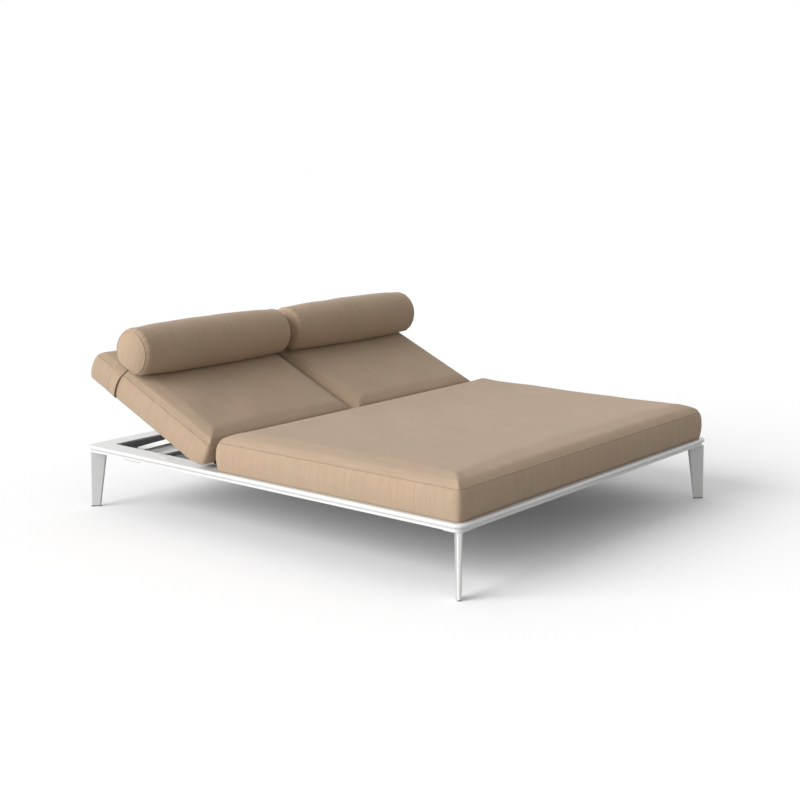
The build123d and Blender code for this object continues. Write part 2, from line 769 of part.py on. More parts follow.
for side_name, side_sign in sides.items():
    side_tubes("back_side_tubes_" + side_name, side_sign)
    cross_tubes("back_cross_tubes_" + side_name, side_sign)
    back_mesh("back_mesh_" + side_name, side_sign)
    hinge_spans = (
        (back_outer - tube_width, back_outer + ear_gap + ear_thickness + ear_gap),
        (centre_gap + tube_width, centre_gap - ear_gap - ear_thickness - ear_gap),
    )
    headed_pins("hinge_pins_" + side_name, hinge_spans, 0, 0, side_sign)
    stay_spans = (
        (back_outer - tube_wall, outer_arm - ear_gap),
        (centre_gap + tube_wall, inner_arm + stay_arm_thickness + ear_gap),
    )
    headed_pins("stay_pins_" + side_name, stay_spans, stay_pivot, 0, side_sign)
    stay_arms("stay_arms_" + side_name, side_sign)
    stay_rod("stay_rod_" + side_name, side_sign)
    back_cushion("back_cushion_" + side_name, side_sign)
    strap("bolster_strap_" + side_name, side_sign)
    bolster("bolster_" + side_name, side_sign)
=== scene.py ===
import math

import bpy
import numpy as np
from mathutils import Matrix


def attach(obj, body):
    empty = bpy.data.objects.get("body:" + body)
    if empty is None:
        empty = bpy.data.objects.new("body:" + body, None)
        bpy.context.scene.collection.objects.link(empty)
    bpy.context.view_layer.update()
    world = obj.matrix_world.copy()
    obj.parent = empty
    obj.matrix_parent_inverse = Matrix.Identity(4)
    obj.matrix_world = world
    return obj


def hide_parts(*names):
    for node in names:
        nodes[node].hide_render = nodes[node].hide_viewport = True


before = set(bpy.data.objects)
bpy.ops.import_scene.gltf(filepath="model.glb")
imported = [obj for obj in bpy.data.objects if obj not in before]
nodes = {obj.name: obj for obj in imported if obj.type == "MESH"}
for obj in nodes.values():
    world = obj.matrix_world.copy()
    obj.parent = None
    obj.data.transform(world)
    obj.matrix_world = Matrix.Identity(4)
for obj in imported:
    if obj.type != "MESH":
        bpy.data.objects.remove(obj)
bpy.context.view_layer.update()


# White base frame: four mitred aluminium extrusions with a bullnose lip, cast blade legs, the
# beams under the seat and the tubes of both backs. All of it is powder-coated white after
# welding, which gives a satin film with a very fine orange peel.
def linear(colour):
    """An sRGB colour written as RRGGBB, as the linear red, green, blue and alpha of a shader."""
    parts = np.array([int(colour[i:i + 2], 16) / 255 for i in (0, 2, 4)])
    low, high = parts / 12.92, ((parts + 0.055) / 1.055) ** 2.4
    return (*np.where(parts <= 0.04045, low, high), 1.0)


def add(tree, kind, inputs=None, **settings):
    """Adds one node, sets its properties, and gives each named input a value or a link."""
    made = tree.nodes.new(kind)
    for name, value in settings.items():
        setattr(made, name, value)
    for name, value in (inputs or {}).items():
        if isinstance(value, bpy.types.NodeSocket):
            tree.links.new(value, made.inputs[name])
        else:
            made.inputs[name].default_value = value
    return made


def new_material(name, **shader):
    """A material with its shader's own sockets set, and its tree and shader to build on."""
    material = bpy.data.materials.new(name)
    material.use_nodes = True
    principled = material.node_tree.nodes["Principled BSDF"]
    for socket, value in shader.items():
        principled.inputs[socket.replace("_", " ")].default_value = value
    return material, material.node_tree, principled


def finish_nodes(material, names):
    """Gives these CAD nodes one finish."""
    for name in names:
        mesh = nodes[name].data
        mesh.materials.clear()
        mesh.materials.append(material)


both = ("left", "right")

# Polyester powder coat in plain white: a matt-satin film about 80 microns thick, whose
# orange peel is 2 mm wide and only just catches the light.
powder_coat, tree, shader = new_material("white_powder_coat", Roughness=0.32, IOR=1.5, Coat_Weight=0.8,
                                         Coat_Roughness=0.16)
place = add(tree, "ShaderNodeTexCoord")
peel = add(tree, "ShaderNodeTexNoise", {"Vector": place.outputs["Object"], "Scale": 420.0, "Detail": 2.0})
haze = add(tree, "ShaderNodeTexNoise", {"Vector": place.outputs["Object"], "Scale": 9.0, "Detail": 4.0})
tone = add(tree, "ShaderNodeMix", {"Factor": haze.outputs["Fac"], "A": linear("D5D5D4"),
                                   "B": linear("DDDDDC")}, data_type="RGBA")
gloss = add(tree, "ShaderNodeMapRange", {"Value": haze.outputs["Fac"], "To Min": 0.28, "To Max": 0.38})
skin = add(tree, "ShaderNodeBump", {"Height": peel.outputs["Fac"], "Strength": 0.12, "Distance": 0.0004})
tree.links.new(tone.outputs["Result"], shader.inputs["Base Color"])
tree.links.new(gloss.outputs["Result"], shader.inputs["Roughness"])
tree.links.new(skin.outputs["Normal"], shader.inputs["Normal"])

white_nodes = ["side_rail_left", "side_rail_right", "foot_rail", "head_rail", "hinge_beam", "seat_beams",
               "centre_spine", "hinge_ears", "stay_beam"]
for side in both:
    white_nodes += ["leg_foot_" + side, "leg_head_" + side, "back_side_tubes_" + side,
                    "back_cross_tubes_" + side, "stay_arms_" + side, "stay_rod_" + side]
finish_nodes(powder_coat, white_nodes)


# Glides and bumpers: moulded grey rubber pads, pressed into the legs and stuck on the stay
# beam. Moulded rubber is dull and mid grey, with a fine spark texture.
rubber, tree, shader = new_material("moulded_grey_rubber", Roughness=0.7, IOR=1.5)
place = add(tree, "ShaderNodeTexCoord")
spark = add(tree, "ShaderNodeTexNoise", {"Vector": place.outputs["Object"], "Scale": 900.0, "Detail": 3.0})
tone = add(tree, "ShaderNodeMix", {"Factor": spark.outputs["Fac"], "A": linear("6A6B6C"),
                                   "B": linear("808182")}, data_type="RGBA")
skin = add(tree, "ShaderNodeBump", {"Height": spark.outputs["Fac"], "Strength": 0.3, "Distance": 0.0003})
tree.links.new(tone.outputs["Result"], shader.inputs["Base Color"])
tree.links.new(skin.outputs["Normal"], shader.inputs["Normal"])
finish_nodes(rubber, ["leg_glides", "rest_bumpers"])


# Pins and racks: turned and laser-cut stainless steel, left bare. The turning and rolling
# leave fine lines along the part that stretch its highlights.
steel, tree, shader = new_material("brushed_stainless_steel", Metallic=1.0, Roughness=0.3)
place = add(tree, "ShaderNodeTexCoord")
stretch = add(tree, "ShaderNodeMapping", {"Vector": place.outputs["Object"], "Scale": (40.0, 900.0, 900.0)})
lines = add(tree, "ShaderNodeTexNoise", {"Vector": stretch.outputs["Vector"], "Scale": 1.0, "Detail": 3.0})
tone = add(tree, "ShaderNodeMix", {"Factor": lines.outputs["Fac"], "A": linear("A9A8A6"),
                                   "B": linear("C9C8C5")}, data_type="RGBA")
gloss = add(tree, "ShaderNodeMapRange", {"Value": lines.outputs["Fac"], "To Min": 0.24, "To Max": 0.4})
tree.links.new(tone.outputs["Result"], shader.inputs["Base Color"])
tree.links.new(gloss.outputs["Result"], shader.inputs["Roughness"])
steel_nodes = ["stay_racks"]
for side in both:
    steel_nodes += ["hinge_pins_" + side, "stay_pins_" + side]
finish_nodes(steel, steel_nodes)


# Mesh panels and tray: dark grey vinyl-coated polyester mesh, heat-set so that its threads
# are bonded where they cross, under the seat, on both backs and over the tray in the head
# bay. Its grey is painted lighter than that dark grey, a painted lift of light for the tray,
# which lies in shade under the backs. Thread spacing is 1.6 mm in the real mesh and drawn
# at 4 mm so that it shows.
back_angle = math.radians(24.07)
mesh_pitch = 0.004

# The bands of a wave texture stand this far apart at a scale of 1.
wave_width = 0.31416


def woven_mesh(name, lean):
    """The mesh's finish: two sine waves square to each other, turned to lie along the panel.
    The height is the higher of the two threads, so each crossing stands up as a knuckle."""
    material, tree, shader = new_material(name, Roughness=0.55, IOR=1.48)
    place = add(tree, "ShaderNodeTexCoord")
    turned = add(tree, "ShaderNodeMapping", {"Vector": place.outputs["Object"],
                                             "Rotation": (-lean, 0.0, 0.0)})
    band_scale = wave_width / mesh_pitch
    across = add(tree, "ShaderNodeTexWave", {"Vector": turned.outputs["Vector"], "Scale": band_scale},
                 bands_direction="X")
    along = add(tree, "ShaderNodeTexWave", {"Vector": turned.outputs["Vector"], "Scale": band_scale},
                bands_direction="Y")
    knuckle = add(tree, "ShaderNodeMath", {0: across.outputs["Fac"], 1: along.outputs["Fac"]},
                  operation="MAXIMUM")
    # Painted light: both greys are lighter than the real dark grey mesh, standing in for light on the shaded
    # tray.
    tone = add(tree, "ShaderNodeMix", {"Factor": knuckle.outputs["Value"], "A": linear("666768"),
                                       "B": linear("A3A4A4")}, data_type="RGBA")
    skin = add(tree, "ShaderNodeBump", {"Height": knuckle.outputs["Value"], "Strength": 0.6,
                                        "Distance": 0.0008})
    tree.links.new(tone.outputs["Result"], shader.inputs["Base Color"])
    tree.links.new(skin.outputs["Normal"], shader.inputs["Normal"])
    return material


finish_nodes(woven_mesh("vinyl_mesh_level", 0.0), ["seat_sling", "head_tray"])
finish_nodes(woven_mesh("vinyl_mesh_on_slope", back_angle), ["back_mesh_left", "back_mesh_right"])


# Cushion cloth: solution-dyed acrylic in sand beige, a plain weave of slubby yarn. Dull, with
# a faint bloom at grazing light. The yarn is 0.7 mm and drawn at 2 mm so that it shows.
yarn_pitch = 0.002


def woven_acrylic(name, low, high, other):
    """The cloth's finish, on its own cloth map in metres: the product of two sine waves gives
    the over-and-under of a plain weave, noise drawn out along each yarn gives the slubs, and
    the lighter yarn drifts between two dye lots."""
    material, tree, shader = new_material(name, Roughness=0.92, IOR=1.46, Sheen_Weight=0.12,
                                          Sheen_Roughness=0.5)
    place = add(tree, "ShaderNodeUVMap", uv_map="cloth")
    band_scale = wave_width / yarn_pitch
    warp = add(tree, "ShaderNodeTexWave", {"Vector": place.outputs["UV"], "Scale": band_scale,
                                           "Distortion": 0.6, "Detail Scale": 2.0}, bands_direction="X")
    weft = add(tree, "ShaderNodeTexWave", {"Vector": place.outputs["UV"], "Scale": band_scale,
                                           "Distortion": 0.6, "Detail Scale": 2.0}, bands_direction="Y")
    weave = add(tree, "ShaderNodeMath", {0: warp.outputs["Fac"], 1: weft.outputs["Fac"]},
                operation="MULTIPLY")
    tall = add(tree, "ShaderNodeMapping", {"Vector": place.outputs["UV"], "Scale": (190.0, 7.0, 1.0)})
    wide = add(tree, "ShaderNodeMapping", {"Vector": place.outputs["UV"], "Scale": (7.0, 330.0, 1.0)})
    slub_tall = add(tree, "ShaderNodeTexNoise", {"Vector": tall.outputs["Vector"], "Scale": 1.0,
                                                 "Detail": 2.0})
    slub_wide = add(tree, "ShaderNodeTexNoise", {"Vector": wide.outputs["Vector"], "Scale": 1.0,
                                                 "Detail": 2.0})
    cloud = add(tree, "ShaderNodeTexNoise", {"Vector": place.outputs["UV"], "Scale": 5.0, "Detail": 3.0})
    slubs = add(tree, "ShaderNodeMath", {0: slub_tall.outputs["Fac"], 1: 2.2, 2: slub_wide.outputs["Fac"]},
                operation="MULTIPLY_ADD")
    heather = add(tree, "ShaderNodeMath", {0: slubs.outputs["Value"], 1: 0.32, 2: weave.outputs["Value"]},
                  operation="MULTIPLY_ADD")
    blend = add(tree, "ShaderNodeMapRange", {"Value": heather.outputs["Value"], "From Min": 0.33,
                                             "From Max": 1.2})
    drift = add(tree, "ShaderNodeMapRange", {"Value": cloud.outputs["Fac"], "From Min": 0.35,
                                             "From Max": 0.65})
    yarn = add(tree, "ShaderNodeMix", {"Factor": drift.outputs["Result"], "A": linear(high),
                                       "B": linear(other)}, data_type="RGBA")
    tone = add(tree, "ShaderNodeMix", {"Factor": blend.outputs["Result"], "A": linear(low),
                                       "B": yarn.outputs["Result"]}, data_type="RGBA")
    relief = add(tree, "ShaderNodeMath", {0: slubs.outputs["Value"], 1: 0.5, 2: weave.outputs["Value"]},
                 operation="MULTIPLY_ADD")
    skin = add(tree, "ShaderNodeBump", {"Height": relief.outputs["Value"], "Strength": 0.35,
                                        "Distance": 0.0006})
    tree.links.new(tone.outputs["Result"], shader.inputs["Base Color"])
    tree.links.new(skin.outputs["Normal"], shader.inputs["Normal"])
    return material


cushion_cloth = woven_acrylic("woven_acrylic_sand", "9A836D", "BAA088", "B3A086")

# Sewing thread: bonded polyester, painted a shade darker than the cloth, a painted shade
# line that makes the seams show as a thin dark line even in flat light.
thread, tree, shader = new_material("bonded_polyester_thread", Roughness=0.6, IOR=1.5)
place = add(tree, "ShaderNodeTexCoord")
twist = add(tree, "ShaderNodeTexNoise", {"Vector": place.outputs["Object"], "Scale": 700.0})
# Painted shade: the thread's darker tone stands in for the shade line along each seam and hem.
tone = add(tree, "ShaderNodeMix", {"Factor": twist.outputs["Fac"], "A": linear("86725F"),
                                   "B": linear("9C8973")}, data_type="RGBA")
tree.links.new(tone.outputs["Result"], shader.inputs["Base Color"])


# Seat cushion: one foam block with a wadding wrap in a sewn cover, which has a boxing strip
# round its sides, a top panel that crowns over the wadding, and a seam round its top edge. It
# lies loose on the mesh between the rails.
def block_shell(counts):
    """The outside of a block of cells. Gives the corners as whole numbers (i, j, k), the quads
    with their faces outward, and the axis that each quad faces along."""
    counts = np.array(counts)
    weights = np.array([1, counts[0] + 1, (counts[0] + 1) * (counts[1] + 1)])
    low_order, high_order = ((0, 0), (0, 1), (1, 1), (1, 0)), ((0, 0), (1, 0), (1, 1), (0, 1))
    quads, facing = [], []
    for w in range(3):
        u, v = (w + 1) % 3, (w + 2) % 3
        uu, vv = np.meshgrid(np.arange(counts[u]), np.arange(counts[v]), indexing="ij")
        for level, order in ((0, low_order), (counts[w], high_order)):
            ring = [(uu + du) * weights[u] + (vv + dv) * weights[v] + level * weights[w] for du, dv in order]
            quads.append(np.stack(ring, -1).reshape(-1, 4))
            facing.append(np.full(len(quads[-1]), w))
    used, quads = np.unique(np.concatenate(quads), return_inverse=True)
    corners = np.stack([used % weights[1], used // weights[1] % (counts[1] + 1), used // weights[2]], -1)
    return corners, quads.reshape(-1, 4), np.concatenate(facing)


def edge_stations(low, high, step, near=(0, 0.003, 0.008, 0.015, 0.025, 0.038)):
    """Places from low to high, close together near both ends and a step apart between."""
    near = np.array(near)
    count = max(2, round((high - low - 2 * near[-1]) / step))
    inner = np.linspace(low + near[-1], high - near[-1], count + 1)
    return np.concatenate([low + near[:-1], inner, (high - near[:-1])[::-1]])


def ripple(s, waves, seed):
    """A sum of sine waves along s, one for each length, with fixed random phases, about 1 high."""
    phases = np.random.default_rng(seed).uniform(0, 2 * np.pi, len(waves))
    total = sum(np.sin(2 * np.pi * s / wave + phase) for wave, phase in zip(waves, phases))
    return total / math.sqrt(len(waves))


def new_piece(name, points, quads, material, cloth_map=None):
    """A mesh from its points and faces, in the shared frame, with a smooth surface."""
    mesh = bpy.data.meshes.new(name)
    mesh.from_pydata(points.tolist(), [], quads.tolist())
    mesh.polygons.foreach_set("use_smooth", np.ones(len(quads), bool))
    if cloth_map is not None:
        mesh.uv_layers.new(name="cloth").uv.foreach_set("vector", cloth_map.astype(np.float32).ravel())
    mesh.materials.append(material)
    mesh.update()
    piece = bpy.data.objects.new(name, mesh)
    bpy.context.scene.collection.objects.link(piece)
    return piece


def subdivide(piece, levels=1):
    """Rounds a piece between its points."""
    rounding = piece.modifiers.new("rounding", "SUBSURF")
    rounding.levels = rounding.render_levels = levels


def inflate(piece, pinned, cap, frames=20, pressure=4.0, slack=0.0):
    """Blows a sewn cover up against its stuffing: cloth under pressure with no gravity, held at
    the pinned points, each other point moved by at most cap (by its hyperbolic tangent)."""
    rest = np.array([v.co for v in piece.data.vertices])
    group = piece.vertex_groups.new(name="sewn")
    group.add(np.flatnonzero(pinned).tolist(), 1.0, "REPLACE")
    sewn = piece.modifiers.new("cover", "CLOTH")
    settings = sewn.settings
    settings.quality = 5
    settings.mass = 0.3
    settings.tension_stiffness = settings.compression_stiffness = 25
    settings.shear_stiffness = 10
    settings.bending_stiffness = 0.5
    settings.use_pressure = True
    settings.uniform_pressure_force = pressure
    settings.shrink_min = slack
    settings.vertex_group_mass = group.name
    settings.effector_weights.gravity = 0
    sewn.collision_settings.use_collision = False
    sewn.point_cache.frame_start, sewn.point_cache.frame_end = 1, frames
    for number in range(1, frames + 1):
        bpy.context.scene.frame_set(number)
    graph = bpy.context.evaluated_depsgraph_get()
    blown = np.array([v.co for v in piece.evaluated_get(graph).data.vertices])
    piece.modifiers.remove(sewn)
    piece.vertex_groups.remove(group)
    bpy.context.scene.frame_set(1)
    moved = blown - rest
    length = np.linalg.norm(moved, axis=1, keepdims=True) + 1e-9
    rest += moved / length * cap * np.tanh(length / cap)
    piece.data.vertices.foreach_set("co", rest.astype(np.float32).ravel())
    piece.data.update()


# The boxing strip's section, from its foot to its top edge: how high, as a share of the seam's
# height, and how far in, as a share of the roll.
boxing_levels = np.array([0, 0.05, 0.14, 0.28, 0.42, 0.56, 0.7, 0.82, 0.91, 0.965, 1])
boxing_insets = np.array([0.5, 0.16, -0.12, -0.38, -0.52, -0.52, -0.4, -0.16, 0.2, 0.52, 1])

# Waves that the sewing and the wadding leave, each with its lengths along the seam or over the
# top, and its height: puckers that fade away from the seam, lighter ones all over the boxing,
# ones on the rim of the top panel, and the top panel's slow wander.
seam_pucker, seam_pucker_waves, seam_pucker_fade = 0.0009, (0.041, 0.057, 0.083, 0.127), 0.03
side_pucker, side_pucker_waves = 0.0005, (0.05, 0.072)
rim_pucker, rim_pucker_waves, rim_pucker_fade = 0.0008, (0.047, 0.066), 0.03
top_wander, top_waves_across, top_waves_along, top_wander_rise = 0.0016, (0.31, 0.47), (0.37, 0.53), 0.1
crown_power, roll_fade, on_side_within, end_side_shift = 0.65, 0.06, 1e-6, 7.0


def boxed_cushion(low, high, seam_height, crown, roll, corner, bow, reach, step, seed):
    """A boxed cushion lying level with its underside at 0. Plan: a rectangle whose sides are
    drawn in by bow at their middles, with corners of one radius. Side: the inset table above
    times roll. Top: crown times sin(pi/2 t^crown_power), with t the way in from the seam over reach.
    Gives points, quads, cloth map, and which points are on the top seam and on the underside."""
    xs, ys = (edge_stations(low[i], high[i], step) for i in (0, 1))
    rings = len(boxing_levels) - 1
    corners, quads, facing = block_shell((len(xs) - 1, len(ys) - 1, rings))
    middle = (np.array(low) + np.array(high)) / 2
    half = (np.array(high) - np.array(low)) / 2
    plan = np.stack([xs[corners[:, 0]], ys[corners[:, 1]]], -1) - middle
    over = np.abs(plan) - (half - corner)
    depth = corner - over.max(1)
    both_over = (over > 0).all(1)
    length = np.linalg.norm(np.maximum(over, 0), axis=1)
    rounded = np.where(both_over, over.max(1) / np.maximum(length, 1e-9), 1.0)
    arm = np.maximum(over, 0) * rounded[:, None]
    core = np.minimum(np.abs(plan), half - corner)
    level = corners[:, 2]
    on_top, on_base = level == rings, level == 0
    inner = depth >= on_side_within
    faded_roll = roll * np.maximum(0, 1 - depth / roll_fade) * (on_top | on_base)
    inset = np.where(inner, faded_roll, boxing_insets[level] * roll)
    arm_length = np.maximum(np.linalg.norm(arm, axis=1), 1e-9)
    outward = arm / arm_length[:, None] * (arm > 0).any(1)[:, None] * np.sign(plan)
    plan = (core + arm) * np.sign(plan)
    share = plan / half
    drawn = bow * (1 - share[:, ::-1] ** 2) * share
    plan = plan - outward * inset[:, None] - drawn
    t = np.clip(depth / reach, 0, 1)
    rise = crown * np.sin(np.pi / 2 * t ** crown_power)
    height = seam_height * boxing_levels[level] + np.where(on_top, rise, 0)
    run = np.where(np.abs(outward[:, 0]) > np.abs(outward[:, 1]), plan[:, 1], plan[:, 0] + end_side_shift)
    panel = on_top & inner
    near_seam = np.exp(-np.abs(seam_height - height) / seam_pucker_fade)
    draw = seam_pucker * ripple(run, seam_pucker_waves, seed) * near_seam
    draw = (draw + side_pucker * ripple(run, side_pucker_waves, seed + 1)) * (~on_base & ~panel)
    plan = plan + outward * draw[:, None]
    rim = rim_pucker * ripple(run, rim_pucker_waves, seed + 2) * np.exp(-depth / rim_pucker_fade)
    height = height + panel * rim
    wander = ripple(plan[:, 0], top_waves_across, seed + 3) * ripple(plan[:, 1], top_waves_along, seed + 4)
    height = height + panel * top_wander * wander * np.clip(depth / top_wander_rise, 0, 1)
    points = np.concatenate([plan + middle, height[:, None]], 1)
    flat = points[quads]
    flat_z = np.where(on_top, height, seam_height * boxing_levels[level])[quads]
    cloth_map = np.stack([
        np.where(facing[:, None] == 0, flat[..., 1], flat[..., 0]),
        np.where(facing[:, None] == 2, flat[..., 1], flat_z),
    ], -1)
    return points, quads, cloth_map, on_top & ~inner, on_base


def loop_order(points, centre, mask):
    """The masked points, in order round the centre."""
    chosen = np.flatnonzero(mask)
    turn = np.arctan2(points[chosen, 1] - centre[1], points[chosen, 0] - centre[0])
    return chosen[np.argsort(turn)]


def resample(path, pitch):
    """A closed path, walked again in equal steps of about one pitch."""
    closed = np.concatenate([path, path[:1]])
    run = np.concatenate([[0], np.cumsum(np.linalg.norm(np.diff(closed, axis=0), axis=1))])
    count = max(8, round(run[-1] / pitch))
    at = np.linspace(0, run[-1], count, endpoint=False)
    return np.stack([np.interp(at, run, closed[:, i]) for i in range(3)], -1)


def frames_along(path):
    """The direction along a closed path at each point: the step from the point before to the
    point after, made one long."""
    step = np.roll(path, -1, 0) - np.roll(path, 1, 0)
    return step / np.linalg.norm(step, axis=1, keepdims=True)


def bead(name, path, outward, radius, material, sides=8):
    """A round bead carried along a closed path: a circle on the outward direction and on the
    one square to it and to the path."""
    along = frames_along(path)
    outward = outward - along * (outward * along).sum(1, keepdims=True)
    outward /= np.linalg.norm(outward, axis=1, keepdims=True)
    across = np.cross(along, outward)
    turn = np.linspace(0, 2 * np.pi, sides, endpoint=False)
    ring = outward[:, None] * np.cos(turn)[:, None] + across[:, None] * np.sin(turn)[:, None]
    points = (path[:, None] + radius * ring).reshape(-1, 3)
    i, j = np.meshgrid(np.arange(len(path)), np.arange(sides), indexing="ij")
    after, beside = (i + 1) % len(path), (j + 1) % sides
    quads = np.stack([i * sides + j, i * sides + beside, after * sides + beside, after * sides + j], -1)
    quads = quads.reshape(-1, 4)
    run = np.arange(len(path)) * np.linalg.norm(path[1] - path[0])
    flat_map = np.stack([np.broadcast_to(run[:, None], i.shape).ravel()[quads],
                         np.broadcast_to(turn * radius, i.shape).ravel()[quads]], -1)
    return new_piece(name, points, quads, material, flat_map)


def stitches(name, path, outward, length, radius, material, sewn):
    """A row of stitches along a closed path, one at each point that is sewn: each is a spindle
    of six sides, thick in the middle and pulled into the cloth at both ends."""
    path, outward, along = path[sewn], outward[sewn], frames_along(path)[sewn]
    across = np.cross(along, outward)
    stations = np.array([-0.5, -0.3, 0.0, 0.3, 0.5])
    thickness = np.array([0.15, 0.8, 1.0, 0.8, 0.15])
    lift = np.array([-0.9, 0.0, 0.35, 0.0, -0.9])
    sides = 6
    corners = sides * len(stations)
    turn = np.linspace(0, 2 * np.pi, sides, endpoint=False)
    centre = (path[:, None] + along[:, None] * (stations * length)[:, None]
              + outward[:, None] * (lift * radius)[:, None])
    ring = outward[:, None] * np.cos(turn)[:, None] + across[:, None] * np.sin(turn)[:, None]
    points = (centre[:, :, None] + ring[:, None] * (thickness * radius)[:, None, None]).reshape(-1, 3)
    k, i, j = np.meshgrid(np.arange(len(path)), np.arange(len(stations) - 1), np.arange(sides), indexing="ij")
    ring_start, beside = k * corners + i * sides, (j + 1) % sides
    next_start = ring_start + sides
    quads = np.stack([ring_start + j, ring_start + beside, next_start + beside, next_start + j], -1)
    quads = quads.reshape(-1, 4)
    ends, last = [], corners - sides
    for first, order in ((0, (3, 2, 1, 0)), (0, (5, 4, 3, 0)), (last, (0, 1, 2, 3)), (last, (0, 3, 4, 5))):
        ends.append(np.arange(len(path))[:, None] * corners + first + np.array(order))
    quads = np.concatenate([quads, *ends])
    return new_piece(name, points, quads, material)


seat_floor = 0.2723
seat_low, seat_high = (-0.887, -0.982), (0.887, 0.221)
seat_seam_height, seat_crown, seat_swell = 0.114, 0.034, 0.005
seat_corner, seat_bow, seat_step = 0.026, 0.003, 0.016
cushion_roll, crown_reach = 0.009, 0.075

points, quads, cloth_map, seam, underside = boxed_cushion(
    seat_low, seat_high, seat_seam_height, seat_crown, cushion_roll, seat_corner, seat_bow, crown_reach,
    seat_step, 3)
points[:, 2] += seat_floor
seat = new_piece("seat_cushion_cover", points, quads, cushion_cloth, cloth_map)
inflate(seat, seam | underside, seat_swell)
subdivide(seat)
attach(seat, "base")
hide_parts("seat_cushion")


seam_bead, seam_pitch = 0.0014, 0.006


def sew_edge(name, points, ring, centre, place, body):
    """The seam round one edge: a thin folded bead on the ring of points, which faces outward and
    half as much upward. place turns cushion points to the shared frame."""
    path = resample(points[loop_order(points, centre, ring)], seam_pitch)
    away = np.cross(frames_along(path), (0.0, 0.0, 1.0))
    outward = away / np.linalg.norm(away, axis=1, keepdims=True) + np.array([0.0, 0.0, 0.5])
    outward /= np.linalg.norm(outward, axis=1, keepdims=True)
    centre_line = place(path)
    seam_line = bead(name + "_seam", centre_line, place(path + outward) - centre_line, seam_bead, thread)
    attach(seam_line, body)


def level_place(points):
    """Cushion points are already in the shared frame, level with the floor."""
    return points


seat_middle = (0.0, -0.387)
sew_edge("seat_top", points, seam, seat_middle, level_place, "base")


# Leg screws: two button-head socket screws through the top plate of each leg, put in from
# below into the rails. Stainless steel, each with a hexagonal socket.
screw_radius, screw_height, socket_reach, screw_points = 0.0052, 0.0030, 0.0021, 24
plate_thickness, screw_from_edge, screw_from_end = 0.003, 0.015, 0.062


def button_heads(name, centres, material):
    """Screw heads that hang from the points given. Each is rings of points: a quarter ellipse
    from the plate to the socket's rim, whose radius is that of a hexagon, and the socket's wall."""
    turn = np.linspace(0, 2 * np.pi, screw_points, endpoint=False)
    hexagon = socket_reach * math.cos(math.pi / 6) / np.cos((turn + np.pi / 6) % (np.pi / 3) - np.pi / 6)
    rings = []
    for angle in np.radians([0, 20, 42, 62]):
        rings.append((np.full(screw_points, screw_radius * math.cos(angle)), -screw_height * math.sin(angle)))
    rings += [(hexagon, -screw_height), (hexagon, -0.4 * screw_height)]
    head = np.concatenate([
        np.stack([radius * np.cos(turn), radius * np.sin(turn), np.full(screw_points, z)], -1)
        for radius, z in rings])
    i, j = np.meshgrid(np.arange(len(rings) - 1), np.arange(screw_points), indexing="ij")
    beside = (j + 1) % screw_points
    first, after = i * screw_points, (i + 1) * screw_points
    walls = np.stack([first + beside, first + j, after + j, after + beside], -1).reshape(-1, 4)
    faces = []
    for number in range(len(centres)):
        start, end = number * len(head), (number + 1) * len(head)
        faces += (walls + start).tolist()
        faces += [list(range(start, start + screw_points)), list(range(end - 1, end - 1 - screw_points, -1))]
    points = (np.array(centres)[:, None] + head).reshape(-1, 3)
    mesh = bpy.data.meshes.new(name)
    mesh.from_pydata(points.tolist(), [], faces)
    mesh.materials.append(material)
    screws = bpy.data.objects.new(name, mesh)
    bpy.context.scene.collection.objects.link(screws)
    return screws


screw_places = []
for end, way_y in (("foot", 1), ("head", -1)):
    for side, way_x in (("left", 1), ("right", -1)):
        low, high = np.array(nodes["leg_" + end + "_" + side].bound_box)[[0, 6]]
        corner_x, corner_y = low[0] if way_x > 0 else high[0], low[1] if way_y > 0 else high[1]
        for along_x, along_y in ((screw_from_end, screw_from_edge), (screw_from_edge, screw_from_end)):
            screw_places.append((corner_x + way_x * along_x, corner_y + way_y * along_y,
                                 high[2] - plate_thickness))
screws = button_heads("leg_screws", screw_places, steel)
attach(screws, "base")


# Back cushions: two boxed cushions like the seat's, each loose on its tube frame. The foot of
# each is cut to an arc underneath so that it can turn, and the two press flat where they meet.
hinge_place = (0.0, 0.320, 0.2583)
slope_cos, slope_sin = math.cos(back_angle), math.sin(back_angle)
cushion_base, cushion_foot, cushion_head = 0.0156, -0.026, 0.730
back_seam_height, back_crown, back_swell = 0.109, 0.033, 0.0035
relief_run, relief_radius = 0.100, 0.178
cushion_inner, cushion_outer, cushions_meet, meet_fade = 0.006, 0.890, 0.0050, 0.005
back_corner, back_bow, back_step = 0.022, 0.001, 0.014


def slope_place(points):
    """Points (x, s, n), with s up the slope from the hinge and n square to it, in the shared frame."""
    x, s, n = np.asarray(points).T
    return np.stack([x, hinge_place[1] + s * slope_cos - n * slope_sin,
                     hinge_place[2] + s * slope_sin + n * slope_cos], -1)


def cushion_place(points):
    """The way back: points (x, s, n) from points in the shared frame."""
    x, y, z = np.asarray(points).T
    y, z = y - hinge_place[1], z - hinge_place[2]
    return np.stack([x, y * slope_cos + z * slope_sin, z * slope_cos - y * slope_sin], -1)


def relieve(points):
    """Lifts the underside of a back cushion along an arc at its foot, and the sides with it."""
    into = np.clip(cushion_foot + relief_run - points[:, 1], 0, relief_run)
    rise = relief_radius - np.sqrt(relief_radius ** 2 - into ** 2)
    share = np.clip(1 - points[:, 2] / back_seam_height, 0, 1)
    points[:, 2] += rise * share
    return points


